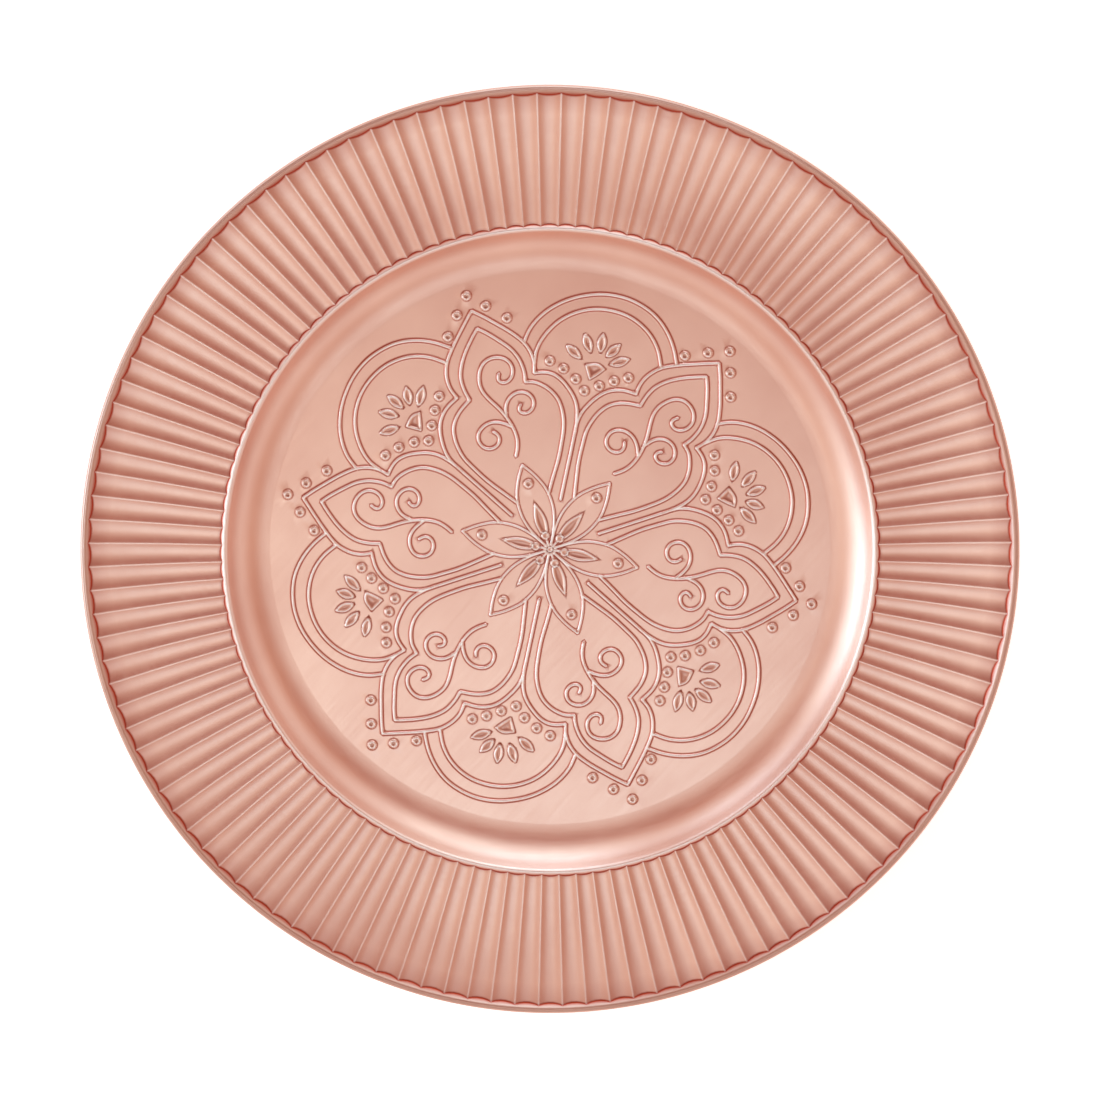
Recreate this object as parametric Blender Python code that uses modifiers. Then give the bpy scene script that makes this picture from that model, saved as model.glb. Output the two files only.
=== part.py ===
"""Fluted copper charger tray, the 13 inch (330 mm) size, in metres with +Z up.

The tray is one round pressed sheet: a flat floor, a coved wall, a raised
shoulder ring, and a broad rim of concave flutes that climbs to the lip. The
lip is a wired edge: the sheet is rolled down round a steel wire. The origin is
the centre of the floor's underside, and a flute's middle lies on +X.
"""

from math import asin, atan, cos, pi, radians, sin, tau

import bmesh
import bpy
from mathutils import Vector

SHEET = 0.0005  # thickness of the pressed sheet
PLATE_RADIUS = 0.165
PLATE_HEIGHT = 0.0142  # from the floor's underside to the top of the lip

FLOOR_RADIUS = 0.0995
FLAT_RADIUS = 0.096  # the flat of the floor, clear of the turn up into the cove
COVE_SEGMENTS = 4

SHOULDER_RADIUS = 0.1146  # crest of the smooth ring between cove and flutes
SHOULDER_HEIGHT = 0.0098
SHOULDER_ROUND = 0.0012  # from the top of the cove's arc to the crest, across
SHOULDER_RISE = 0.0009  # and up

FLUTES = 120
FLUTE_ANGLE = tau / FLUTES
# Ends and middle of a flute: radius and height of its ridge, then of its channel
FLUTE_INNER = ((0.1154, 0.0094), (0.1162, 0.0087))
FLUTE_MIDDLE = ((0.1420, 0.0102), (0.1420, 0.0093))
FLUTE_OUTER = ((0.1622, 0.0131), (0.1614, 0.0121))

BEAD_RADIUS = 0.0014  # outside of the wired edge
BEAD_SEGMENTS = 8
BEAD_START = radians(135)  # where the rim runs onto the bead, from +R towards +Z
BEAD_END = radians(-150)  # the raw edge, which stops short of the rim's underside
BEAD_CENTRE = (PLATE_RADIUS - BEAD_RADIUS, PLATE_HEIGHT - BEAD_RADIUS)

WIRE_RADIUS = 0.0005
WIRE_GAP = 0.0005  # between the wire's two butted ends
WIRE_JOINT = pi + FLUTE_ANGLE / 2  # the ridge at which the ends meet


def clear_scene():
    for thing in list(bpy.data.objects):
        bpy.data.objects.remove(thing, do_unlink=True)


def new_collection(name):
    collection = bpy.data.collections.new(name)
    bpy.context.scene.collection.children.link(collection)
    return collection


def new_material(name, colour, roughness):
    material = bpy.data.materials.new(name)
    material.use_nodes = True
    shader = material.node_tree.nodes["Principled BSDF"]
    shader.inputs["Base Color"].default_value = (*colour, 1.0)
    shader.inputs["Metallic"].default_value = 1.0
    shader.inputs["Roughness"].default_value = roughness
    return material


def around(point, angle):
    """A point of the profile, radius and height, turned to an angle about +Z."""
    radius, height = point
    return Vector((radius * cos(angle), radius * sin(angle), height))


def cove_points():
    """The cove's arc, tangent to the floor at its edge and ending below the shoulder's crest."""
    across = SHOULDER_RADIUS - SHOULDER_ROUND - FLOOR_RADIUS
    up = SHOULDER_HEIGHT - SHOULDER_RISE - SHEET
    steepest = 2 * atan(up / across)
    radius = across / sin(steepest)
    turns = [steepest * i / COVE_SEGMENTS for i in range(COVE_SEGMENTS + 1)]
    return [(FLOOR_RADIUS + radius * sin(t), SHEET + radius * (1 - cos(t))) for t in turns]


def bead_points():
    """The rolled edge, from where the rim meets it, over the top and round to the raw edge."""
    turn = (BEAD_END - BEAD_START) / BEAD_SEGMENTS
    angles = [BEAD_START + turn * i for i in range(BEAD_SEGMENTS + 1)]
    radius, height = BEAD_CENTRE
    return [(radius + BEAD_RADIUS * cos(a), height + BEAD_RADIUS * sin(a)) for a in angles]


def add_ring(mesh, ridge, channel=None):
    """One ring of vertices, at each ridge and, where the ring is fluted, in each channel."""
    ring = []
    for flute in range(FLUTES):
        angle = (flute - 0.5) * FLUTE_ANGLE
        ring.append(mesh.verts.new(around(ridge, angle)))
        if channel:
            ring.append(mesh.verts.new(around(channel, angle + FLUTE_ANGLE / 2)))
    return ring


def span(ring, sector, sectors):
    step = len(ring) // sectors
    return [ring[(sector * step + i) % len(ring)] for i in range(step + 1)]


def bridge(mesh, inner, outer):
    """The band between two rings, which is a loft between unlike sections at the flutes' ends."""
    sectors = min(len(inner), len(outer))
    for sector in range(sectors):
        near = span(inner, sector, sectors)
        far = span(outer, sector, sectors)
        mesh.faces.new(far + near[::-1])


def make_sheet(collection):
    """The whole pressing as one open surface, its upper side, with Solidify for the metal."""
    mesh = bmesh.new()
    rings = [add_ring(mesh, (FLAT_RADIUS, SHEET))]
    mesh.faces.new(rings[0])
    rings += [add_ring(mesh, point) for point in cove_points()]
    rings.append(add_ring(mesh, (SHOULDER_RADIUS, SHOULDER_HEIGHT)))
    rings += [add_ring(mesh, *ends) for ends in (FLUTE_INNER, FLUTE_MIDDLE, FLUTE_OUTER)]
    rings += [add_ring(mesh, point) for point in bead_points()]
    for inner, outer in zip(rings, rings[1:]):
        bridge(mesh, inner, outer)
    data = bpy.data.meshes.new("tray_sheet")
    mesh.to_mesh(data)
    mesh.free()
    data.shade_smooth()
    data.set_sharp_from_angle(angle=radians(25))
    sheet = bpy.data.objects.new("tray_sheet", data)
    collection.objects.link(sheet)
    metal = sheet.modifiers.new("metal", "SOLIDIFY")
    metal.thickness = SHEET
    metal.offset = -1.0
    metal.use_even_offset = True
    data.materials.append(new_material("copper", (0.78, 0.42, 0.30), 0.35))
    return sheet


def make_wire(collection):
    """The wire inside the bead, a hoop cut once, with a corner at every ridge as the bead has."""
    radius, height = BEAD_CENTRE
    trim = asin(WIRE_GAP / 2 / radius)
    angles = [WIRE_JOINT + FLUTE_ANGLE * i for i in range(FLUTES + 1)]
    angles[0] += trim
    angles[-1] -= trim
    curve = bpy.data.curves.new("rim_wire", "CURVE")
    curve.dimensions = "3D"
    curve.bevel_depth = WIRE_RADIUS
    curve.bevel_resolution = 2
    curve.use_fill_caps = True
    spline = curve.splines.new("POLY")
    spline.points.add(len(angles) - 1)
    for point, angle in zip(spline.points, angles):
        point.co = (*around((radius, 0.0), angle), 1.0)
    wire = bpy.data.objects.new("rim_wire", curve)
    wire.location.z = height
    collection.objects.link(wire)
    curve.materials.append(new_material("wire_steel", (0.45, 0.44, 0.43), 0.45))
    return wire


clear_scene()
parts = new_collection("charger_tray")
tray = bpy.data.objects.new("tray_origin", None)
parts.objects.link(tray)
for piece in (make_sheet(parts), make_wire(parts)):
    piece.parent = tray
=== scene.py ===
"""Round copper charger tray: a thin sheet pressed to an embossed floor and a fluted rim, on a wired edge."""

from math import atan2, cos, pi, radians, sin, tau

import bpy
import numpy as np
from mathutils import Matrix, Vector
from mathutils.geometry import delaunay_2d_cdt


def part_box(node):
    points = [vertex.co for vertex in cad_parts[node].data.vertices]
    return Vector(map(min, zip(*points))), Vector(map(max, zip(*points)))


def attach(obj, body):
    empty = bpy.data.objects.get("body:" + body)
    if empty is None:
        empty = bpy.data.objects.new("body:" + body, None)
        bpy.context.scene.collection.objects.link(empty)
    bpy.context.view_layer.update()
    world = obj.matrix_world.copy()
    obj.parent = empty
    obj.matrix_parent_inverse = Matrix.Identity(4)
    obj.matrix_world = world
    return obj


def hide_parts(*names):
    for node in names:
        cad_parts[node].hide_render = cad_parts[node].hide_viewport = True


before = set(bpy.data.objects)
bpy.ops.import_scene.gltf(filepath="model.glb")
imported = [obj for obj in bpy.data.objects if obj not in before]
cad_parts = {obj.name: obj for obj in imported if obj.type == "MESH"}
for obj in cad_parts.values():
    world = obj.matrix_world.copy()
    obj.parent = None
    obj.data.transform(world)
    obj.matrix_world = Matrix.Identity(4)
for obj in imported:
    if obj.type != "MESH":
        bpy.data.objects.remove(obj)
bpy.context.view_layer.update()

# ---------------------------------------------------------------------------
# Rim of the sheet
# The outer part of the pressing: the cove that rises from the floor, the
# smooth shoulder ring, 120 concave flutes that meet in ridges, and the lip,
# where the sheet is rolled down round a wire and its raw edge tucked under.
# ---------------------------------------------------------------------------

MM = 0.001
SHEET = 0.5  # thickness of the metal; lengths in the tables below are in mm
FLUTES = 120
FLUTE_ANGLE = tau / FLUTES
sheet_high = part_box("tray_sheet")[1]
PLATE_RADIUS = sheet_high.x / cos(FLUTE_ANGLE / 2) / MM
PLATE_HEIGHT = sheet_high.z / MM

JOIN_RADIUS = 99.0  # where the rim's mesh meets the floor's, just inside the cove
FLOOR_RADIUS = 99.5
COVE_TOP = (113.4, 8.9)
COVE_ROWS = 9
SHOULDER = [(113.8, 9.36), (114.2, 9.66), (114.6, 9.78), (114.95, 9.72)]
# Each row from here to the lip has two points, on the ridge and in the channel: radius, height
SHOULDER_FOOT = [
    [(115.25, 9.56), (115.5, 9.36)],
    [(115.40, 9.45), (116.0, 8.94)],
    [(115.50, 9.41), (116.2, 8.80)],
    [(115.80, 9.42), (116.6, 8.80)],
]
FLUTE_RIDGE = [(116.6, 9.42), (142.0, 10.2), (161.6, 13.0)]
FLUTE_CHANNEL = [(117.4, 8.84), (142.0, 9.55), (160.7, 12.25)]
FLUTE_ROWS = 8
LIP_FOOT = [
    [(162.10, 13.10), (161.30, 12.32)],
    [(162.25, 13.20), (161.50, 12.42)],
    [(162.40, 13.45), (162.00, 12.95)],
]
BEAD_RADIUS = 1.4
BEAD_CENTRE = (PLATE_RADIUS - BEAD_RADIUS, PLATE_HEIGHT - BEAD_RADIUS)
BEAD_TURNS = [135, 120, 105, 92, 86, 82, 78, 74, 70, 62, 50, 34, 15, -8, -35, -65, -95, -122, -150]
GROOVE_TURN = 78  # a fine turned line on top of the lip
GROOVE_DEPTH = 0.12
GROOVE_WIDTH = 5  # degrees
# How deep the painted shade, a dark red, is in each row at the flutes' inner feet by the shoulder and outer
# feet by the lip, and how strong the painted highlight is on the shoulder
FOOT_RED = (0.3, 1.0, 1.0, 0.2)
LIP_RED = (0.3, 1.0, 1.0, 0.6)
SHOULDER_HIGHLIGHT = (0.2, 0.5, 0.9, 0.7)
# A painted highlight on and beside each flute's ridge
RIDGE_HIGHLIGHT = (0.05, 0.45)  # beside a ridge, and on it
# How much browner the lip is
LIP_BROWN = 0.42
CRISP_ANGLE = radians(62)  # folds sharper than this keep their edge
# Columns of one flute, from one ridge (-1) through the channel (0) towards the next ridge
ACROSS = np.array([-1.0, -0.88, -0.6, -0.22, 0.22, 0.6, 0.88])


def curve_through(points, count):
    """Evenly spaced points on the parabola that goes through three points of the profile."""
    r, z = np.array(points).T
    along = np.linspace(r[0], r[2], count)
    return np.column_stack([along, np.polyval(np.polyfit(r, z, 2), along)])


def rim_rows():
    """Rows of the rim's upper side, from the floor out, over the lip and under to the raw edge.

    Each row holds its ridge point and its channel point. The cove is an arc tangent to the
    floor, and the lip a circle with a shallow line turned into it."""
    rise = atan2(COVE_TOP[1] - SHEET, COVE_TOP[0] - FLOOR_RADIUS) * 2
    arc = (COVE_TOP[0] - FLOOR_RADIUS) / sin(rise)
    turn = np.linspace(0, rise, COVE_ROWS)
    cove = np.column_stack([FLOOR_RADIUS + arc * np.sin(turn), SHEET + arc * (1 - np.cos(turn))])
    plain = np.vstack([[(JOIN_RADIUS, SHEET)], cove, SHOULDER])
    flutes = np.stack([curve_through(p, FLUTE_ROWS) for p in (FLUTE_RIDGE, FLUTE_CHANNEL)], axis=1)
    turns = np.array(BEAD_TURNS, float)
    groove = GROOVE_DEPTH * np.exp(-(((turns - GROOVE_TURN) / GROOVE_WIDTH) ** 2))
    angles = np.radians(turns)
    out = (BEAD_RADIUS - groove)[:, None]
    bead = np.array(BEAD_CENTRE) + out * np.column_stack([np.cos(angles), np.sin(angles)])
    return np.concatenate([
        np.stack([plain, plain], axis=1), SHOULDER_FOOT, flutes, LIP_FOOT, np.stack([bead, bead], axis=1),
    ])


def column_angles():
    """The angle of each column about +Z: the same few columns in every flute."""
    middles = np.arange(FLUTES)[:, None] * FLUTE_ANGLE
    return (middles + ACROSS * FLUTE_ANGLE / 2).ravel()


def rim_surface():
    """The rim as a closed grid: rows over the top and back along the underside, columns all round.

    Across a flute the surface is channel + (ridge - channel) * u * u, with u from -1 to 1, so
    the channels are hollow and the ridges sharp. The underside is the top moved in by the
    sheet's thickness, square to the profile."""
    rows = rim_rows()
    bend = np.tile(ACROSS**2, FLUTES)[None, :, None]
    profile = rows[:, None, 1] + (rows[:, None, 0] - rows[:, None, 1]) * bend
    along = np.gradient(profile, axis=0)
    along /= np.linalg.norm(along, axis=2, keepdims=True)
    inward = np.stack([along[..., 1], -along[..., 0]], axis=2)
    loop = np.concatenate([profile, (profile + SHEET * inward)[::-1]])
    angles = column_angles()
    radius, height = loop[..., 0], loop[..., 1]
    return np.stack([radius * np.cos(angles), radius * np.sin(angles), height], axis=2) * MM


def grid_faces(rows, columns):
    """Quads of a grid that is closed both ways, as vertex numbers."""
    row = np.arange(rows)[:, None]
    column = np.arange(columns)
    next_row, next_column = (row + 1) % rows, (column + 1) % columns
    corners = [row * columns + column, next_row * columns + column]
    corners += [next_row * columns + next_column, row * columns + next_column]
    return np.stack(corners, axis=2).reshape(-1, 4)


def sheet_piece(name, points, faces, marks):
    """A smooth-shaded mesh object whose folds and cut edges stay crisp.

    marks are named values held at each vertex, which the materials read."""
    mesh = bpy.data.meshes.new(name)
    mesh.from_pydata(points.reshape(-1, 3).tolist(), [], faces)
    for mark, values in marks.items():
        layer = mesh.attributes.new(mark, "FLOAT", "POINT")
        layer.data.foreach_set("value", np.asarray(values, np.float32).ravel())
    mesh.shade_smooth()
    mesh.set_sharp_from_angle(angle=CRISP_ANGLE)
    piece = bpy.data.objects.new(name, mesh)
    bpy.context.scene.collection.objects.link(piece)
    return piece


def rim_marks(shape):
    """How red, how pale and how brown the metal is at each point of the rim.

    The red is painted shade at the scalloped ends of the flutes, the pale is a painted highlight on
    the ridges and the crest of the shoulder, and the brown is on the lip. All are 0 on the underside."""
    painted_shade, painted_highlight, brown_and_shade = np.zeros((3, *shape))
    rows = shape[0] // 2
    foot = 1 + COVE_ROWS + len(SHOULDER)
    flutes = foot + len(SHOULDER_FOOT)
    lip = flutes + FLUTE_ROWS
    bead = lip + len(LIP_FOOT)
    painted_shade[foot:flutes] = np.array(FOOT_RED)[:, None]
    painted_shade[lip - 1 : bead] = np.array(LIP_RED)[:, None]
    ridge = np.tile(np.interp(np.abs(ACROSS), [ACROSS[-1], 1], RIDGE_HIGHLIGHT), FLUTES)
    painted_highlight[foot + 2 : lip + 1] = ridge
    painted_highlight[foot - len(SHOULDER) : foot] = np.array(SHOULDER_HIGHLIGHT)[:, None]
    brown_and_shade[bead:rows] = LIP_BROWN
    return {"painted_shade": painted_shade, "painted_highlight": painted_highlight, "brown_and_shade": brown_and_shade}


rim_points = rim_surface()
rim_shape = rim_points.shape[:2]
rim = sheet_piece("tray_rim", rim_points, grid_faces(*rim_shape).tolist(), rim_marks(rim_shape))

# ---------------------------------------------------------------------------
# Floor of the sheet
# The middle of the same pressing: a flat disc with a six-petalled arabesque
# raised in it by the die, hollow on the underside. One sixth is drawn, with
# its petal along +X, and turned round the centre.
# ---------------------------------------------------------------------------

PETALS = 6
RELIEF = 0.55  # height of the raised lines
LINE_HALF = 0.86  # half the width of a raised line, from its crest to its foot
FINE_HALF = 0.72
LINES = {
    "stalk": [(15.7, 9.05), (26.0, 15.0), (37.2, 21.5)],
    "outer_shoulder_left": [
        (37.2, 21.5), (39.6, 22.9), (42.4, 24.0), (46.1, 24.4), (50.8, 24.0), (54.5, 22.9), (57.4, 20.9),
        (59.6, 18.2), (61.4, 14.3),
    ],
    "outer_lobe_left": [
        (61.4, 14.3), (64.0, 15.4), (66.6, 15.8), (70.0, 15.5), (74.4, 13.8), (79.2, 9.9), (84.0, 5.2),
        (89.1, 0),
    ],
    "outer_lobe_right": [
        (89.1, 0), (85.6, -3.6), (81.6, -7.3), (78.0, -10.5), (74.0, -13.4), (71.2, -14.7), (68.0, -15.4),
        (64.8, -15.3), (61.4, -14.2),
    ],
    "outer_shoulder_right": [
        (61.4, -14.2), (60.6, -17.6), (59.0, -20.4), (56.2, -22.5), (52.7, -23.9), (48.9, -24.8),
        (45.2, -24.7), (41.0, -23.4), (37.2, -21.5),
    ],
    "inner_shoulder_left": [
        (19.6, 6.0), (24.7, 9.7), (30.0, 13.4), (35.4, 16.4), (40.1, 18.7), (44.3, 19.6), (48.0, 19.7),
        (51.7, 18.9), (54.6, 17.0), (57.0, 14.3), (59.3, 10.4),
    ],
    "inner_lobe_left": [
        (59.3, 10.4), (62.0, 11.0), (64.8, 11.2), (68.0, 10.9), (72.0, 9.2), (76.0, 6.4), (80.0, 2.7),
        (82.5, 0),
    ],
    "inner_lobe_right": [
        (82.5, 0), (80.0, -2.6), (76.0, -6.0), (72.0, -9.0), (68.0, -10.6), (64.8, -11.0), (62.0, -10.9),
        (59.3, -10.2),
    ],
    "inner_shoulder_right": [
        (59.3, -10.2), (58.3, -13.3), (56.1, -15.9), (53.6, -17.8), (50.3, -19.2), (46.6, -19.5),
        (42.4, -18.9), (38.7, -17.6), (34.9, -15.7), (30.0, -13.0), (24.7, -9.4), (19.6, -6.0),
    ],
    "main_scroll": [
        (35.2, 1.15), (37.7, -0.25), (40.4, -1.15), (43.3, -1.3), (46.1, -0.95), (48.9, -0.25), (51.7, 0.8),
        (54.5, 2.2), (57.3, 3.8), (60.2, 5.05), (62.8, 5.4), (65.4, 4.95), (68.0, 3.8), (70.0, 2.0),
        (71.0, -0.4), (70.8, -3.2), (69.6, -5.6), (67.5, -7.2), (64.8, -7.4), (62.5, -6.3), (61.3, -4.4),
        (61.4, -2.5), (62.5, -1.3), (63.7, -1.5), (65.0, -2.3),
    ],
    "left_scroll": [
        (45.9, -0.6), (47.6, 1.4), (49.0, 3.9), (49.4, 6.5), (48.8, 8.9), (47.3, 11.0), (45.2, 12.0),
        (43.0, 11.7), (41.1, 10.4), (40.4, 8.3), (40.8, 6.3), (42.0, 4.95), (43.6, 4.5), (45.0, 5.0),
        (46.0, 6.0),
    ],
    "right_scroll": [
        (49.9, -0.1), (52.7, -0.8), (54.7, -2.0), (56.1, -3.8), (56.7, -6.1), (56.2, -8.4), (54.6, -10.3),
        (52.2, -11.0), (50.0, -10.2), (48.7, -8.2), (48.8, -6.2), (50.0, -4.95), (51.4, -5.2), (52.2, -6.2),
    ],
    "fan_outer": [
        (49.2, 56.2), (53.5, 57.6), (58.5, 57.9), (64.0, 57.0), (70.0, 54.6), (75.5, 50.9), (80.5, 45.9),
        (84.3, 39.5), (86.2, 32.5), (86.3, 26.5), (84.8, 20.6), (82.2, 15.4), (78.9, 11.0),
    ],
    "fan_inner": [
        (45.6, 48.3), (49.0, 50.6), (53.0, 51.9), (58.0, 52.3), (63.0, 51.7), (68.0, 49.8), (73.0, 46.3),
        (77.0, 41.5), (79.8, 35.5), (80.7, 29.5), (80.0, 23.8), (77.8, 18.7), (74.3, 14.2),
    ],
}
FINE_LINES = {
    "petal_left": [
        (1.4, 0.75), (3.6, 2.05), (7.0, 3.75), (10.0, 4.85), (13.0, 5.6), (16.0, 5.85), (19.0, 5.75),
        (22.0, 5.15), (25.0, 3.95), (28.0, 2.4), (31.6, 0),
    ],
    "petal_right": [
        (1.4, -0.75), (3.6, -2.05), (7.0, -3.75), (10.0, -4.85), (13.0, -5.6), (16.0, -5.85), (19.0, -5.75),
        (22.0, -5.15), (25.0, -3.95), (28.0, -2.4), (31.6, 0),
    ],
    "stem": [(0.9, 0), (2.2, 0), (3.9, 0)],
}
DOT_RING = 1.12  # radius of a dot's raised ring, whose middle is dimpled
DOT_HALF = 0.82
DIMPLE = (0.15, 0.95)  # where a dot's dimple rises to its ring
DIMPLE_HEIGHT = 0.3  # of the ring's
DOTS = [
    (24.6, 0), (94.6, 0), (89.1, 5.3), (89.1, -5.3), (82.9, 10.7), (82.8, -11.1),
    (49.8, 44.8), (51.0, 39.4), (51.1, 33.7), (50.0, 28.7), (54.8, 25.9), (59.6, 23.2), (63.8, 20.2),
]
BEADS = [(5.2, 0)]
# Round bosses: their middles, size against a dot's, and how brown the painted shade in the dimple and in the
# crease outside is
ROUND_BOSSES = ((DOTS, 1.0, 0.6, 0.1), (BEADS, 0.92, 0.2, 0.7), ([(0, 0)], 0.62, 0.2, 0.7))
# Leaves of the fan as their two tips, each as wide as the rest
FAN_LEAVES = [
    ((57.8, 36.9), (57.9, 44.5)), ((61.5, 35.8), (65.4, 42.4)), ((63.6, 33.4), (70.0, 37.5)),
    ((63.9, 31.0), (70.9, 30.2)), ((62.6, 28.4), (69.2, 24.2)),
]
LEAF_HALF = 1.65
LEAF_REACH = 10  # no leaf or heart shapes the metal further than this from its middle
# A leaf's painted highlight is centred this far in from its outline
LEAF_CREST = 0.45  # how far in from a leaf's outline its rolled edge is highest
LEAF_HOLLOW = (0.5, 1.35)  # where a leaf sinks to its middle
LEAF_SINK = 0.75  # share of its height that a leaf loses in its middle
PETAL_LEAF = [
    (6.1, 1.35), (7.6, 1.75), (9.0, 2.0), (10.5, 2.08), (12.2, 1.9), (14.0, 1.45), (15.8, 0.8), (17.8, 0),
]
FAN_HEART = [
    [(57.2, 34.9), (55.6, 32.5), (53.9, 29.9)],
    [(53.9, 29.9), (57.2, 28.9), (60.7, 28.2)],
    [(60.7, 28.2), (60.9, 30.2), (60.2, 32.2), (57.2, 34.9)],
]
# Where heights fall, as shares of the half width from crest to foot; a leaf's is in mm from its outline
LINE_FALL = (0.28, 1.0)
DOT_FALL = (0.2, 1.0)
LEAF_FALL = (-0.35, 0.25)
# Middle and width of the bands of painted shade, dark red at the feet and brown in the crease round a leaf,
# on the same measures
LINE_RED = (0.80, 0.27)
DOT_RED = (0.84, 0.2)
LEAF_RED = (0.08, 0.2)
LEAF_CREASE = (0.15, 0.17)
LEAF_CREASE_BROWN = 0.6
CROSSING_RED = 0.15  # most red that a foot keeps where another line runs over it
COVERED = 0.75  # share of the full height that counts as run over
DOT_TOP = 0.3  # a dot's ring isn't red nearer its crest than this
# From the fullest painted highlight to none, and for the painted shade in a dot's dimple, from brownest to
# none
LINE_PALE = (0.2, 0.62)
DOT_PALE = (0.1, 0.55)
LEAF_PALE = (0.05, 0.4)
DOT_BROWN = (0.3, 0.85)
# Where a leaf's hollow middle takes painted shade, and how red and how brown that shade is
LEAF_INSIDE = (0.6, 1.3)
LEAF_INSIDE_RED = 0.3
LEAF_INSIDE_BROWN = 0.2
CURVE_POINTS = 16  # worked out between each two points of a line, before it is faired
LEAF_POINTS = 15
FAIRING = 6  # passes of smoothing that take the kinks out of a line between its points
FAIR_STEP = 0.5
# Rows of mesh beside a line, and round a dot, on the upper side and on the plainer underside
TOP_ROWS = (0, 0.27, 0.5, 0.7, 0.9, 1.2)
TOP_STEP = 0.8
TOP_RINGS = (0.0, 0.4, 0.75, 1.1, 1.45, 1.7, 1.95, 2.3)
TOP_FILL = 3.2
UNDER_ROWS = (0, 0.45, 1.0)
UNDER_STEP = 1.4
UNDER_RINGS = (0.0, 0.7, 1.5, 2.1)
UNDER_FILL = 4.5
UNDER_SHARE = 0.8  # height of the hollows underneath against the lines above
EDGE_OUTER = 1.25  # outermost row of mesh beside a leaf's outline
RING_STEP = 0.75
ROW_RISE = 0.866  # from row to row of a triangular lattice, against its spacing
FILL_BORDER = 0.6  # the lattice stops this share of its spacing inside the border
FILL_CLEAR = 0.5  # and this share short of the pattern's lines
CLOSEST = 0.15  # points nearer than this become one
NET_TOLERANCE = 1e-6
BLOCK = 1500  # points measured at a time


def turned(points, angle):
    """Points turned about the centre of the tray."""
    x, y = np.asarray(points, float).T
    return np.column_stack([x * cos(angle) - y * sin(angle), x * sin(angle) + y * cos(angle)])


def spaced(points, step):
    """The same line with its points evenly spaced, about a step apart."""
    lengths = np.concatenate([[0], np.cumsum(np.linalg.norm(np.diff(points, axis=0), axis=1))])
    along = np.linspace(0, lengths[-1], max(2, round(lengths[-1] / step)) + 1)
    return np.column_stack([np.interp(along, lengths, axis) for axis in points.T])


def smooth_line(points):
    """A Catmull-Rom curve through given points, faired with its ends held."""
    p = np.array(points, float)
    p = np.vstack([2 * p[0] - p[1], p, 2 * p[-1] - p[-2]])
    a, b, c, d = p[:-3], p[1:-2], p[2:-1], p[3:]
    t = np.linspace(0, 1, CURVE_POINTS, endpoint=False)[:, None, None]
    curve = b + 0.5 * t * (c - a + t * (2 * a - 5 * b + 4 * c - d + t * (3 * b - a - 3 * c + d)))
    line = spaced(np.vstack([curve.transpose(1, 0, 2).reshape(-1, 2), p[-2:-1]]), FAIR_STEP)
    for _ in range(FAIRING):
        line[1:-1] = (line[:-2] + 2 * line[1:-1] + line[2:]) / 4
    return line


def leaf_outline(start, end):
    """A pointed oval between two tips: half its width is LEAF_HALF * (1 - u * u), with u from -1 to 1."""
    start, end = np.array(start), np.array(end)
    u = np.linspace(-1, 1, LEAF_POINTS)[:, None]
    axis = (start + end) / 2 + u * (end - start) / 2
    side = np.array([start[1] - end[1], end[0] - start[0]]) / np.linalg.norm(end - start)
    half = LEAF_HALF * (1 - u**2) * side
    return np.vstack([axis + half, (axis - half)[-2:0:-1]])


def all_outlines():
    """The raised bosses of one sixth, each a closed outline."""
    petal_leaf = smooth_line(PETAL_LEAF)
    heart = np.vstack([smooth_line(edge)[:-1] for edge in FAN_HEART])
    outlines = [leaf_outline(*tips) for tips in FAN_LEAVES]
    outlines.append(np.vstack([petal_leaf, petal_leaf[-2::-1] * (1, -1)]))
    outlines.append(heart)
    return outlines


def distance(points, starts, ends):
    """How far each point is from the nearest of many straight segments, in blocks to save memory."""
    run = ends - starts
    squared = (run**2).sum(1)
    found = []
    for block in np.array_split(points, max(1, len(points) // BLOCK)):
        away = block[:, None] - starts
        share = np.clip((away * run).sum(2) / squared, 0, 1)
        found.append(np.sqrt(((away - share[..., None] * run) ** 2).sum(2).min(1)))
    return np.concatenate(found)


def inside(points, outline):
    """Whether each point is inside a closed outline, by counting the edges that lie beyond it along +X."""
    (x0, y0), (x1, y1) = outline.T, np.roll(outline, -1, axis=0).T
    x, y = points[:, :1], points[:, 1:]
    spans = (y0 > y) != (y1 > y)
    crossing = x0 + (y - y0) * (x1 - x0) / np.where(y1 == y0, 1, y1 - y0)
    return (spans & (crossing > x)).sum(1) % 2 == 1


def ramp(low, high, value):
    """0 below low, 1 above high, and a smooth step between."""
    t = np.clip((value - low) / (high - low), 0, 1)
    return t * t * (3 - 2 * t)


def bell(middle, width, value):
    """1 at the middle, and fading on both sides as exp of minus the square of the distance over the width."""
    return np.exp(-(((value - middle) / width) ** 2))


def with_neighbours(lines):
    """Lines of this sixth and of the ones on either side, as segment starts and ends."""
    turns = (-tau / PETALS, 0, tau / PETALS)
    copies = [turned(line, turn) for line in lines for turn in turns]
    starts = np.vstack([line[:-1] for line in copies])
    return starts, np.vstack([line[1:] for line in copies])


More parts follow.
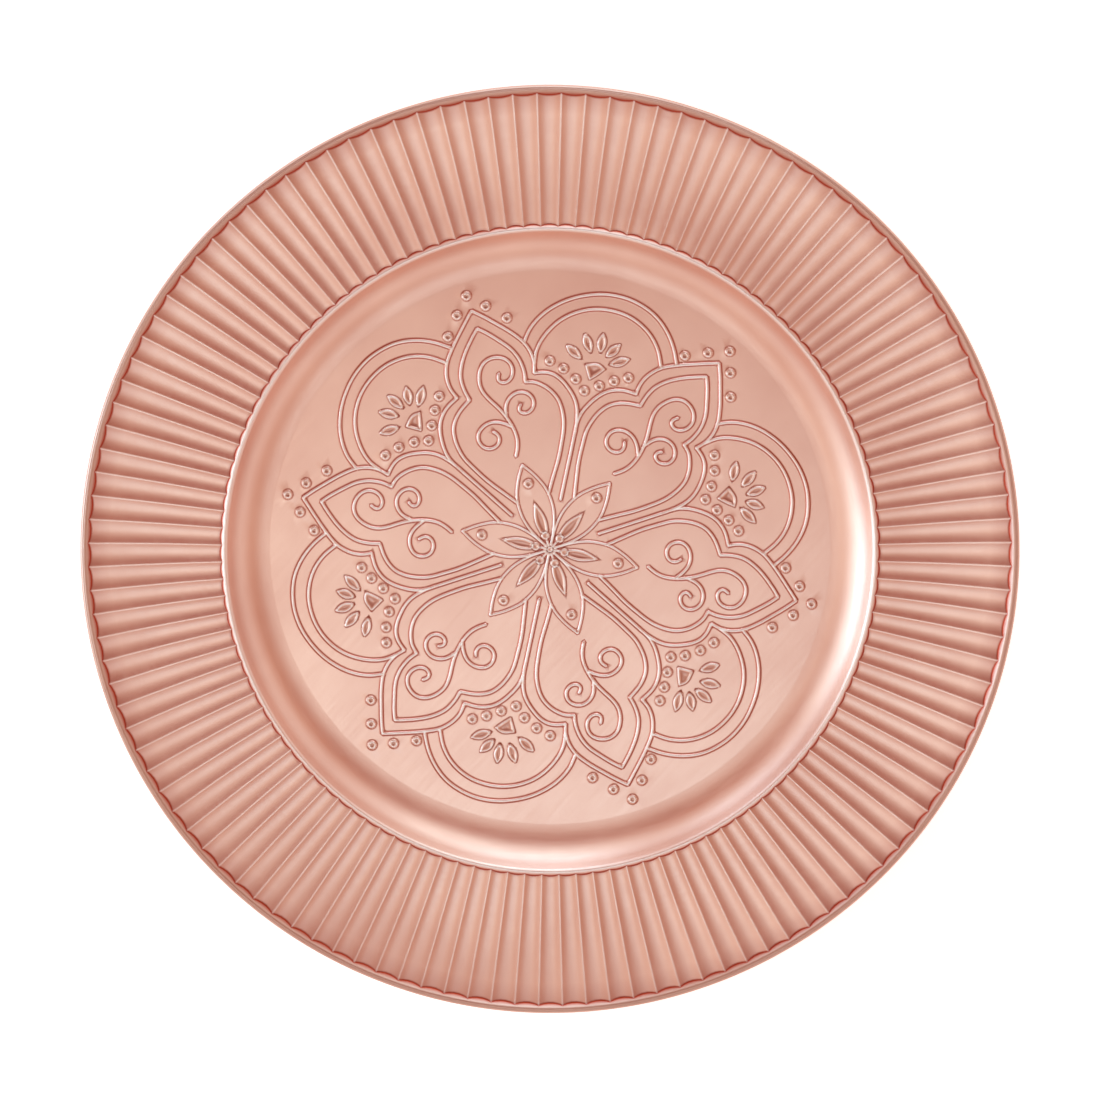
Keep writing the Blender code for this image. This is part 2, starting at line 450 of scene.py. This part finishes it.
def relief(points, lines, fine_lines, outlines):
    """Height of the pattern at each point of a sixth, with its marks of painted shade, painted highlight and
    brown painted shade.

    A raised line has a rounded crest and steep sides, and its height falls with a smooth step.
    A dot is a ring with a dimple, and a leaf has a rolled edge and a hollow middle. Where shapes
    run together the highest one counts. Dark red painted shade marks the feet and a leaf's hollow,
    a painted highlight marks the crests, and brown painted shade marks the dimples, a leaf's hollow and the
    creases round bosses."""
    height, painted_shade, painted_highlight, brown_and_shade = np.zeros((4, len(points)))
    for group, half in ((lines, LINE_HALF), (fine_lines, FINE_HALF)):
        share = distance(points, *with_neighbours(group)) / half
        height = np.maximum(height, 1 - ramp(*LINE_FALL, share))
        painted_shade = np.maximum(painted_shade, bell(*LINE_RED, share))
        painted_highlight = np.maximum(painted_highlight, 1 - ramp(*LINE_PALE, share))
    covered = height > COVERED
    for middles, size, dimple_brown, crease_brown in ROUND_BOSSES:
        centres = np.vstack([turned(middles, turn) for turn in (-tau / PETALS, 0, tau / PETALS)])
        out = np.linalg.norm(points[:, None] - centres, axis=2).min(1) / size
        share = (out - DOT_RING) / DOT_HALF
        dimpled = DIMPLE_HEIGHT + (1 - DIMPLE_HEIGHT) * ramp(*DIMPLE, out)
        height = np.maximum(height, (1 - ramp(*DOT_FALL, share)) * dimpled)
        foot = bell(*DOT_RED, share)
        painted_shade = np.maximum(painted_shade, foot)
        brown_and_shade = np.maximum(brown_and_shade, crease_brown * foot)
        painted_shade[share < DOT_TOP] = 0
        painted_highlight = np.maximum(painted_highlight, 1 - ramp(*DOT_PALE, np.abs(share)))
        brown_and_shade = np.maximum(brown_and_shade, dimple_brown * (1 - ramp(*DOT_BROWN, out)))
    for outline in outlines:
        ring = np.vstack([outline, outline[:1]])
        near = np.linalg.norm(points - outline.mean(0), axis=1) < LEAF_REACH
        away = distance(points[near], ring[:-1], ring[1:])
        away[inside(points[near], outline)] *= -1
        raised = (1 - ramp(*LEAF_FALL, away)) * (1 - LEAF_SINK * ramp(*LEAF_HOLLOW, -away))
        middle = ramp(*LEAF_INSIDE, -away)
        crease = LEAF_CREASE_BROWN * bell(*LEAF_CREASE, away)
        height[near] = np.maximum(height[near], raised)
        painted_shade[near] = np.maximum(painted_shade[near], np.maximum(bell(*LEAF_RED, away), LEAF_INSIDE_RED * middle))
        painted_highlight[near] = np.maximum(painted_highlight[near], 1 - ramp(*LEAF_PALE, np.abs(away + LEAF_CREST)))
        brown_and_shade[near] = np.maximum(brown_and_shade[near], np.maximum(LEAF_INSIDE_BROWN * middle, crease))
    painted_shade[covered] = np.minimum(painted_shade[covered], CROSSING_RED)
    return height * RELIEF, painted_shade, painted_highlight, brown_and_shade


def beside(line, rows, step, closed=False):
    """Points in rows on both sides of a line, which is where the surface bends."""
    line = spaced(np.vstack([line, line[:1]]) if closed else line, step)
    along = np.gradient(line, axis=0)
    along /= np.linalg.norm(along, axis=1, keepdims=True)
    side = np.column_stack([-along[:, 1], along[:, 0]])
    offsets = [offset for row in rows for offset in ({row, -row})]
    beyond = [line[:1] - along[:1] * row for row in rows[2:]]
    beyond += [line[-1:] + along[-1:] * row for row in rows[2:]]
    return np.vstack([line + side * offset for offset in offsets] + ([] if closed else beyond))


def rings(centres, radii):
    """Rings of points round each centre, further apart on the wider rings."""
    found = []
    for radius in radii:
        count = max(1, round(radius * tau / RING_STEP))
        angles = np.arange(count) * tau / count + radius
        ring = radius * np.column_stack([np.cos(angles), np.sin(angles)])
        found.append((np.array(centres)[:, None] + ring).reshape(-1, 2))
    return np.vstack(found)


def fill(spacing, segments):
    """A wide triangular lattice over one sixth, left out near the pattern's lines."""
    count = int(JOIN_RADIUS / spacing) + 2
    i, j = np.meshgrid(np.arange(-count, 2 * count), np.arange(-count, count))
    x, y = (i + j / 2).ravel() * spacing, j.ravel() * spacing * ROW_RISE
    keep = np.hypot(x, y) < JOIN_RADIUS - FILL_BORDER * spacing
    keep &= np.abs(np.arctan2(y, x)) <= pi / PETALS
    points = np.column_stack([x[keep], y[keep]])
    return points[distance(points, *segments) > FILL_CLEAR * spacing]


def floor_skin(rows, step, radii, spacing):
    """One side of the floor: its points, their height and marks, and the triangles between them.

    Points stand thickest along the pattern. The sixth is turned round, points that fall
    together become one, and a Delaunay net joins them."""
    lines = [smooth_line(points) for points in LINES.values()]
    fine_lines = [smooth_line(points) for points in FINE_LINES.values()]
    outlines = all_outlines()
    edge_rows = tuple(row for row in rows if row < 1.0) + (EDGE_OUTER,)
    parts = [beside(line, rows, step) for line in lines + fine_lines]
    parts += [beside(outline, edge_rows, step, closed=True) for outline in outlines]
    parts += [rings(DOTS, radii), rings(BEADS, radii[:-1]), rings([(0, 0)], radii[:4])]
    parts.append(fill(spacing, with_neighbours(lines + fine_lines)))
    points = np.vstack(parts)
    values = np.column_stack(relief(points, lines, fine_lines, outlines))
    points = np.vstack([turned(points, tau * petal / PETALS) for petal in range(PETALS)])
    values = np.tile(values, (PETALS, 1))
    inner = np.hypot(*points.T) < JOIN_RADIUS - 0.5 * step
    angles = column_angles()
    border = JOIN_RADIUS * np.column_stack([np.cos(angles), np.sin(angles)])
    _, kept = np.unique(np.round(points[inner] / CLOSEST), axis=0, return_index=True)
    kept = np.sort(kept)
    points = np.vstack([border, points[inner][kept]])
    values = np.vstack([np.zeros((len(border), 4)), values[inner][kept]])
    net = delaunay_2d_cdt(points.tolist(), [], [], 0, NET_TOLERANCE)
    order = np.array([sources[0] for sources in net[3]])
    faces = order[np.array(net[2])]
    a, b, c = (points[faces[:, corner]] for corner in range(3))
    turn = (b - a)[:, 0] * (c - a)[:, 1] - (b - a)[:, 1] * (c - a)[:, 0]
    faces[turn < 0] = faces[turn < 0][:, ::-1]
    return points, values, faces


def make_floor():
    """Both sides of the floor, joined round the border by the sheet's thickness."""
    top, top_values, top_faces = floor_skin(TOP_ROWS, TOP_STEP, TOP_RINGS, TOP_FILL)
    under, under_values, under_faces = floor_skin(UNDER_ROWS, UNDER_STEP, UNDER_RINGS, UNDER_FILL)
    points = np.vstack([
        np.column_stack([top, SHEET + top_values[:, 0]]),
        np.column_stack([under, UNDER_SHARE * under_values[:, 0]]),
    ])
    border = np.arange(FLUTES * len(ACROSS))
    onward = np.roll(border, -1)
    wall = np.column_stack([border, border + len(top), onward + len(top), onward])
    faces = top_faces.tolist() + (under_faces[:, ::-1] + len(top)).tolist() + wall.tolist()
    marks = np.concatenate([top_values[:, 1:], 0 * under_values[:, 1:]]).T
    return sheet_piece("tray_floor", points * MM, faces, dict(zip(("painted_shade", "painted_highlight", "brown_and_shade"), marks)))


floor = make_floor()

# ---------------------------------------------------------------------------
# Copper of the sheet
# Satin rose copper with a fine brushed grain: round the tray on the rim,
# straight across the floor. Painted shade makes it redder at the feet of the
# pattern and the flutes and browner in the dimples, hollows and creases, the lip
# is browner, and a painted highlight pales the crests.
# ---------------------------------------------------------------------------

COPPER = (0.92, 0.61, 0.49, 1)
# Beside the copper: a red that is both random red clouds and painted shade at the feet, a pale that is a
# painted highlight on the crests, and a brown that is the lip's tone and painted shade in dimples, hollows
# and creases
RED_TONE_AND_SHADE = (0.40, 0.032, 0.006, 1)
HIGHLIGHT_COPPER = (1.0, 0.92, 0.86, 1)
BROWN_TONE_AND_SHADE = (0.30, 0.13, 0.09, 1)
CLOUD_SCALE = 28.0
CLOUD_RANGE = (0.35, 0.7)  # of the noise, from clean metal to the reddest cloud
CLOUD_RED = 0.13
GRAIN_RANGE = (0.1, 0.9)  # of the noise, from smoothest to roughest
GRAIN_DEPTH = 0.000008
RIM_ROUGHNESS = (0.34, 0.44)
FLOOR_ROUGHNESS = (0.28, 0.38)
RIM_ANISOTROPY = 0.4
ACROSS_THE_GRAIN = 0.25  # turns the stretched gloss square to the brushing
GRAIN_LINES = 1100  # per metre, across the brushing
GRAIN_BREAKS = 14.0  # how soon a brushed line fades out round the rim
FLOOR_GRAIN = (60, GRAIN_LINES, 60)
FLOOR_GRAIN_TURN = radians(48.08)


def satin_copper_group():
    """Node group: colour, roughness and normal of brushed copper, from its grain and its three marks: painted
    shade, painted highlight, and a brown that is the lip's tone and painted shade.
    """
    group = bpy.data.node_groups.new("Satin copper", "ShaderNodeTree")
    socket = group.interface.new_socket
    socket("Grain Vector", in_out="INPUT", socket_type="NodeSocketVector")
    socket("Cloud Vector", in_out="INPUT", socket_type="NodeSocketVector")
    for name in ("Painted_shade", "Painted_highlight", "Brown_and_shade", "Roughness Low", "Roughness High", "Grain Depth"):
        socket(name, in_out="INPUT", socket_type="NodeSocketFloat")
    socket("Color", in_out="OUTPUT", socket_type="NodeSocketColor")
    socket("Roughness", in_out="OUTPUT", socket_type="NodeSocketFloat")
    socket("Normal", in_out="OUTPUT", socket_type="NodeSocketVector")
    nodes, link = group.nodes, group.links.new
    given, out = nodes.new("NodeGroupInput"), nodes.new("NodeGroupOutput")

    grain = nodes.new("ShaderNodeTexNoise")
    grain.inputs["Scale"].default_value = 1.0
    grain.inputs["Detail"].default_value = 2.0
    grain.inputs["Roughness"].default_value = 0.5
    link(given.outputs["Grain Vector"], grain.inputs["Vector"])

    cloud = nodes.new("ShaderNodeTexNoise")
    cloud.inputs["Scale"].default_value = CLOUD_SCALE
    cloud.inputs["Detail"].default_value = 3.0
    link(given.outputs["Cloud Vector"], cloud.inputs["Vector"])

    tint = nodes.new("ShaderNodeMapRange")
    tint.inputs["From Min"].default_value = CLOUD_RANGE[0]
    tint.inputs["From Max"].default_value = CLOUD_RANGE[1]
    tint.inputs["To Max"].default_value = CLOUD_RED
    link(cloud.outputs["Fac"], tint.inputs["Value"])

    clean = nodes.new("ShaderNodeMix")
    clean.data_type = "RGBA"
    clean.inputs["A"].default_value = COPPER
    clean.inputs["B"].default_value = RED_TONE_AND_SHADE
    link(tint.outputs["Result"], clean.inputs["Factor"])

    # Painted shade, dark red, at the feet of the pattern and the flutes
    red = nodes.new("ShaderNodeMix")
    red.data_type = "RGBA"
    red.inputs["B"].default_value = RED_TONE_AND_SHADE
    link(given.outputs["Painted_shade"], red.inputs["Factor"])
    link(clean.outputs["Result"], red.inputs["A"])

    # Painted highlight on the crests
    pale = nodes.new("ShaderNodeMix")
    pale.data_type = "RGBA"
    pale.inputs["B"].default_value = HIGHLIGHT_COPPER
    link(given.outputs["Painted_highlight"], pale.inputs["Factor"])
    link(red.outputs["Result"], pale.inputs["A"])

    # Brown on the lip, and painted shade in dimples, hollows and creases
    brown = nodes.new("ShaderNodeMix")
    brown.data_type = "RGBA"
    brown.inputs["B"].default_value = BROWN_TONE_AND_SHADE
    link(given.outputs["Brown_and_shade"], brown.inputs["Factor"])
    link(pale.outputs["Result"], brown.inputs["A"])
    link(brown.outputs["Result"], out.inputs["Color"])

    rough = nodes.new("ShaderNodeMapRange")
    rough.inputs["From Min"].default_value = GRAIN_RANGE[0]
    rough.inputs["From Max"].default_value = GRAIN_RANGE[1]
    link(grain.outputs["Fac"], rough.inputs["Value"])
    link(given.outputs["Roughness Low"], rough.inputs["To Min"])
    link(given.outputs["Roughness High"], rough.inputs["To Max"])
    link(rough.outputs["Result"], out.inputs["Roughness"])

    bump = nodes.new("ShaderNodeBump")
    bump.inputs["Strength"].default_value = 1.0
    link(grain.outputs["Fac"], bump.inputs["Height"])
    link(given.outputs["Grain Depth"], bump.inputs["Distance"])
    link(bump.outputs["Normal"], out.inputs["Normal"])
    return group


def marked(nodes, name):
    """One of the marks that the piece holds at its vertices."""
    mark = nodes.new("ShaderNodeAttribute")
    mark.attribute_name = name
    return mark.outputs["Fac"]


def round_grain(nodes, link, place):
    """Grain that runs round the tray: the heading scaled a little, plus the radius scaled a lot on Z."""
    flat = nodes.new("ShaderNodeVectorMath")
    flat.operation = "MULTIPLY"
    flat.inputs[1].default_value = (1, 1, 0)
    link(place, flat.inputs[0])
    heading = nodes.new("ShaderNodeVectorMath")
    heading.operation = "NORMALIZE"
    link(flat.outputs["Vector"], heading.inputs[0])
    radius = nodes.new("ShaderNodeVectorMath")
    radius.operation = "LENGTH"
    link(flat.outputs["Vector"], radius.inputs[0])
    rise = nodes.new("ShaderNodeCombineXYZ")
    link(radius.outputs["Value"], rise.inputs["Z"])
    scaled = nodes.new("ShaderNodeVectorMath")
    scaled.operation = "SCALE"
    scaled.inputs["Scale"].default_value = GRAIN_BREAKS
    link(heading.outputs["Vector"], scaled.inputs[0])
    stretch = nodes.new("ShaderNodeVectorMath")
    stretch.operation = "MULTIPLY_ADD"
    stretch.inputs[1].default_value = (0, 0, GRAIN_LINES)
    link(rise.outputs["Vector"], stretch.inputs[0])
    link(scaled.outputs["Vector"], stretch.inputs[2])
    return stretch.outputs["Vector"]


def straight_grain(nodes, link, place):
    """Grain that runs in straight lines, turned on the floor."""
    mapping = nodes.new("ShaderNodeMapping")
    mapping.inputs["Rotation"].default_value = (0, 0, FLOOR_GRAIN_TURN)
    mapping.inputs["Scale"].default_value = FLOOR_GRAIN
    link(place, mapping.inputs["Vector"])
    return mapping.outputs["Vector"]


def copper_material(name, group, grain, roughness):
    """Satin copper with one of the two grains, and its roughness from smoothest to roughest."""
    material = bpy.data.materials.new(name)
    material.use_nodes = True
    nodes, link = material.node_tree.nodes, material.node_tree.links.new
    shader = nodes["Principled BSDF"]
    shader.inputs["Metallic"].default_value = 1.0
    place = nodes.new("ShaderNodeTexCoord").outputs["Object"]
    satin = nodes.new("ShaderNodeGroup")
    satin.node_tree = group
    satin.inputs["Roughness Low"].default_value = roughness[0]
    satin.inputs["Roughness High"].default_value = roughness[1]
    satin.inputs["Grain Depth"].default_value = GRAIN_DEPTH
    link(grain(nodes, link, place), satin.inputs["Grain Vector"])
    link(place, satin.inputs["Cloud Vector"])
    for mark in ("Painted_shade", "Painted_highlight", "Brown_and_shade"):
        link(marked(nodes, mark.lower()), satin.inputs[mark])
    link(satin.outputs["Color"], shader.inputs["Base Color"])
    link(satin.outputs["Roughness"], shader.inputs["Roughness"])
    link(satin.outputs["Normal"], shader.inputs["Normal"])
    return material


def brush_round(material):
    """Gloss that stretches across brushing that runs round the tray."""
    nodes, link = material.node_tree.nodes, material.node_tree.links.new
    shader = nodes["Principled BSDF"]
    shader.inputs["Anisotropic"].default_value = RIM_ANISOTROPY
    shader.inputs["Anisotropic Rotation"].default_value = ACROSS_THE_GRAIN
    around = nodes.new("ShaderNodeTangent")
    around.direction_type = "RADIAL"
    around.axis = "Z"
    link(around.outputs["Tangent"], shader.inputs["Tangent"])


satin_copper = satin_copper_group()
rim_copper = copper_material("rim_copper", satin_copper, round_grain, RIM_ROUGHNESS)
brush_round(rim_copper)
rim.data.materials.append(rim_copper)
floor.data.materials.append(copper_material("floor_copper", satin_copper, straight_grain, FLOOR_ROUGHNESS))
for piece in (rim, floor):
    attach(piece, "root")
    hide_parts("tray_sheet")

# ---------------------------------------------------------------------------
# Rim wire
# A hoop of drawn steel wire that the lip is rolled round, with its ends
# butted. It only shows through the slit under the lip.
# ---------------------------------------------------------------------------

WIRE_RADIUS = 0.5
WIRE_GAP = 0.5
WIRE_JOINT = pi + FLUTE_ANGLE / 2
WIRE_SIDES = 14
WIRE_STEPS = 480
STEEL = (0.48, 0.47, 0.46, 1)
RUST_BROWN = (0.27, 0.19, 0.14, 1)
BLOOM_SCALE = 240.0
STEEL_ROUGHNESS = (0.35, 0.6)


def make_wire():
    """A tube carried round the rim, its ends closed by a point at the middle of each cut."""
    trim = WIRE_GAP / 2 / BEAD_CENTRE[0]
    turns = np.linspace(WIRE_JOINT + trim, WIRE_JOINT + tau - trim, WIRE_STEPS)[:, None]
    sides = np.arange(WIRE_SIDES) * tau / WIRE_SIDES
    radius = BEAD_CENTRE[0] + WIRE_RADIUS * np.cos(sides) + 0 * turns
    height = BEAD_CENTRE[1] + WIRE_RADIUS * np.sin(sides) + 0 * turns
    tube = np.stack([radius * np.cos(turns), radius * np.sin(turns), height], axis=2).reshape(-1, 3)
    end_turns = turns[[0, -1], 0]
    ends = np.column_stack([np.cos(end_turns), np.sin(end_turns), np.ones(2)])
    ends *= (BEAD_CENTRE[0], BEAD_CENTRE[0], BEAD_CENTRE[1])
    faces = grid_faces(WIRE_STEPS, WIRE_SIDES)[:-WIRE_SIDES].tolist()
    side = np.arange(WIRE_SIDES)
    onward = np.roll(side, -1)
    last = (WIRE_STEPS - 1) * WIRE_SIDES
    start_pole = len(tube) + 0 * side
    faces += np.column_stack([start_pole, onward, side]).tolist()
    faces += np.column_stack([start_pole + 1, side + last, onward + last]).tolist()
    return sheet_piece("rim_wire_hoop", np.vstack([tube, ends]) * MM, faces, {})


def wire_steel():
    """Plain drawn steel, dull, with a little rust-brown bloom."""
    material = bpy.data.materials.new("wire_steel")
    material.use_nodes = True
    nodes, link = material.node_tree.nodes, material.node_tree.links.new
    shader = nodes["Principled BSDF"]
    shader.inputs["Metallic"].default_value = 1.0
    coordinates = nodes.new("ShaderNodeTexCoord")
    bloom = nodes.new("ShaderNodeTexNoise")
    bloom.inputs["Scale"].default_value = BLOOM_SCALE
    link(coordinates.outputs["Object"], bloom.inputs["Vector"])
    colour = nodes.new("ShaderNodeMix")
    colour.data_type = "RGBA"
    colour.inputs["A"].default_value = STEEL
    colour.inputs["B"].default_value = RUST_BROWN
    rough = nodes.new("ShaderNodeMapRange")
    rough.inputs["To Min"].default_value = STEEL_ROUGHNESS[0]
    rough.inputs["To Max"].default_value = STEEL_ROUGHNESS[1]
    link(bloom.outputs["Fac"], colour.inputs["Factor"])
    link(bloom.outputs["Fac"], rough.inputs["Value"])
    link(colour.outputs["Result"], shader.inputs["Base Color"])
    link(rough.outputs["Result"], shader.inputs["Roughness"])
    return material


wire = make_wire()
wire.data.materials.append(wire_steel())
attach(wire, "root")
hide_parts("rim_wire")

# ---------------------------------------------------------------------------
# Studio
# The tray lies on a lit white table, under a pale sky that darkens to warm
# brown overhead, with soft boxes at its left and top and a few panels above.
# The camera stands almost straight above, tipped towards the picture's top.
# ---------------------------------------------------------------------------

PICTURE_TURN = radians(48.08)  # from the picture's right to the first petal
VIEW_TILT = radians(8.68)
VIEW_LEAN = radians(0.26)
VIEW_DISTANCE = 2.024
VIEW_OFFSET = -0.00024
LENS = 187.4
SENSOR_WIDTH = 36.0
FAR_CLIP = 20.0
TABLE_SIZE = 6.0
TABLE_WHITE = (0.88, 0.86, 0.84, 1)
TABLE_ROUGHNESS = 0.9
TABLE_GLOW = 0.6
SKY_STRENGTH = 1.3
# Height in the sky, as the sine of the elevation, and colour
SKY = [
    (0.0, (0.60, 0.54, 0.48)),
    (0.25, (0.8, 0.8, 0.85)),
    (0.50, (0.7, 0.6, 0.55)),
    (0.75, (0.4, 0.12, 0.03)),
    (0.93, (0.2, 0.01, 0.01)),
]
BOX_DISTANCE = 1.6
# Colours of the light, cooler than white because copper warms what it reflects
COOL = (0.35, 0.7, 1.0)
PALE_BLUE = (0.5, 0.85, 1.0)
PALE_GREEN = (0.9, 1.0, 0.85)
# Name, azimuth in the picture from its right, anticlockwise, elevation, size, power, colour
SOFT_BOXES = [
    ("left_box", 180, 6, 0.75, 8.0, COOL),
    ("corner_box", 135, 9, 0.75, 2.5, COOL),
    ("top_box", 90, 6, 0.75, 4.0, COOL),
    ("left_fill", 186, 30, 1.2, 6.0, PALE_BLUE),
    ("top_fill", 78, 30, 1.2, 5.0, PALE_BLUE),
    ("near_panel", 270, 68, 0.75, 2.4, PALE_BLUE),
    ("near_left_panel", 210, 68, 0.75, 1.3, PALE_GREEN),
    ("near_right_panel", 330, 68, 0.75, 0.65, PALE_GREEN),
    ("overhead_panel", 0, 90, 0.75, 0.6, PALE_GREEN),
]

picture = Matrix.Rotation(-PICTURE_TURN, 3, "Z")  # turns picture right, up and out into the tray's frame


def make_table():
    bpy.ops.mesh.primitive_plane_add(size=TABLE_SIZE, location=(0, 0, 0))
    table = bpy.context.object
    table.name = "table"
    material = bpy.data.materials.new("table_white")
    material.use_nodes = True
    shader = material.node_tree.nodes["Principled BSDF"]
    shader.inputs["Base Color"].default_value = TABLE_WHITE
    shader.inputs["Roughness"].default_value = TABLE_ROUGHNESS
    shader.inputs["Emission Color"].default_value = (1, 1, 1, 1)
    shader.inputs["Emission Strength"].default_value = TABLE_GLOW
    table.data.materials.append(material)


def make_camera():
    data = bpy.data.cameras.new("camera")
    data.lens = LENS
    data.sensor_width = SENSOR_WIDTH
    data.clip_end = FAR_CLIP
    camera = bpy.data.objects.new("camera", data)
    bpy.context.scene.collection.objects.link(camera)
    stance = picture @ Matrix.Rotation(VIEW_LEAN, 3, "Y") @ Matrix.Rotation(-VIEW_TILT, 3, "X")
    camera.matrix_world = stance.to_4x4()
    camera.location = stance @ Vector((0, VIEW_OFFSET, VIEW_DISTANCE)) + Vector((0, 0, SHEET * MM))
    bpy.context.scene.camera = camera


def softbox(name, azimuth, elevation, size, power, colour):
    """A square light on a dome round the tray, facing its middle."""
    data = bpy.data.lights.new(name, "AREA")
    data.size = size
    data.energy = power
    data.color = colour
    light = bpy.data.objects.new(name, data)
    bpy.context.scene.collection.objects.link(light)
    turn = Matrix.Rotation(radians(azimuth), 3, "Z") @ Matrix.Rotation(radians(90 - elevation), 3, "Y")
    light.matrix_world = (picture @ turn).to_4x4()
    light.location = picture @ turn @ Vector((0, 0, BOX_DISTANCE))


def make_sky():
    """A studio dome whose colour depends only on how high one looks."""
    world = bpy.data.worlds.new("studio")
    world.use_nodes = True
    nodes, link = world.node_tree.nodes, world.node_tree.links.new
    direction = nodes.new("ShaderNodeTexCoord")
    split = nodes.new("ShaderNodeSeparateXYZ")
    shades = nodes.new("ShaderNodeValToRGB")
    stops = shades.color_ramp.elements
    while len(stops) < len(SKY):
        stops.new(1.0)
    for stop, (height, colour) in zip(stops, SKY):
        stop.position = height
        stop.color = (*colour, 1)
    link(direction.outputs["Generated"], split.inputs["Vector"])
    link(split.outputs["Z"], shades.inputs["Fac"])
    link(shades.outputs["Color"], nodes["Background"].inputs["Color"])
    nodes["Background"].inputs["Strength"].default_value = SKY_STRENGTH
    bpy.context.scene.world = world


make_table()
make_camera()
make_sky()
for box in SOFT_BOXES:
    softbox(*box)
bpy.context.scene.view_settings.view_transform = "Standard"
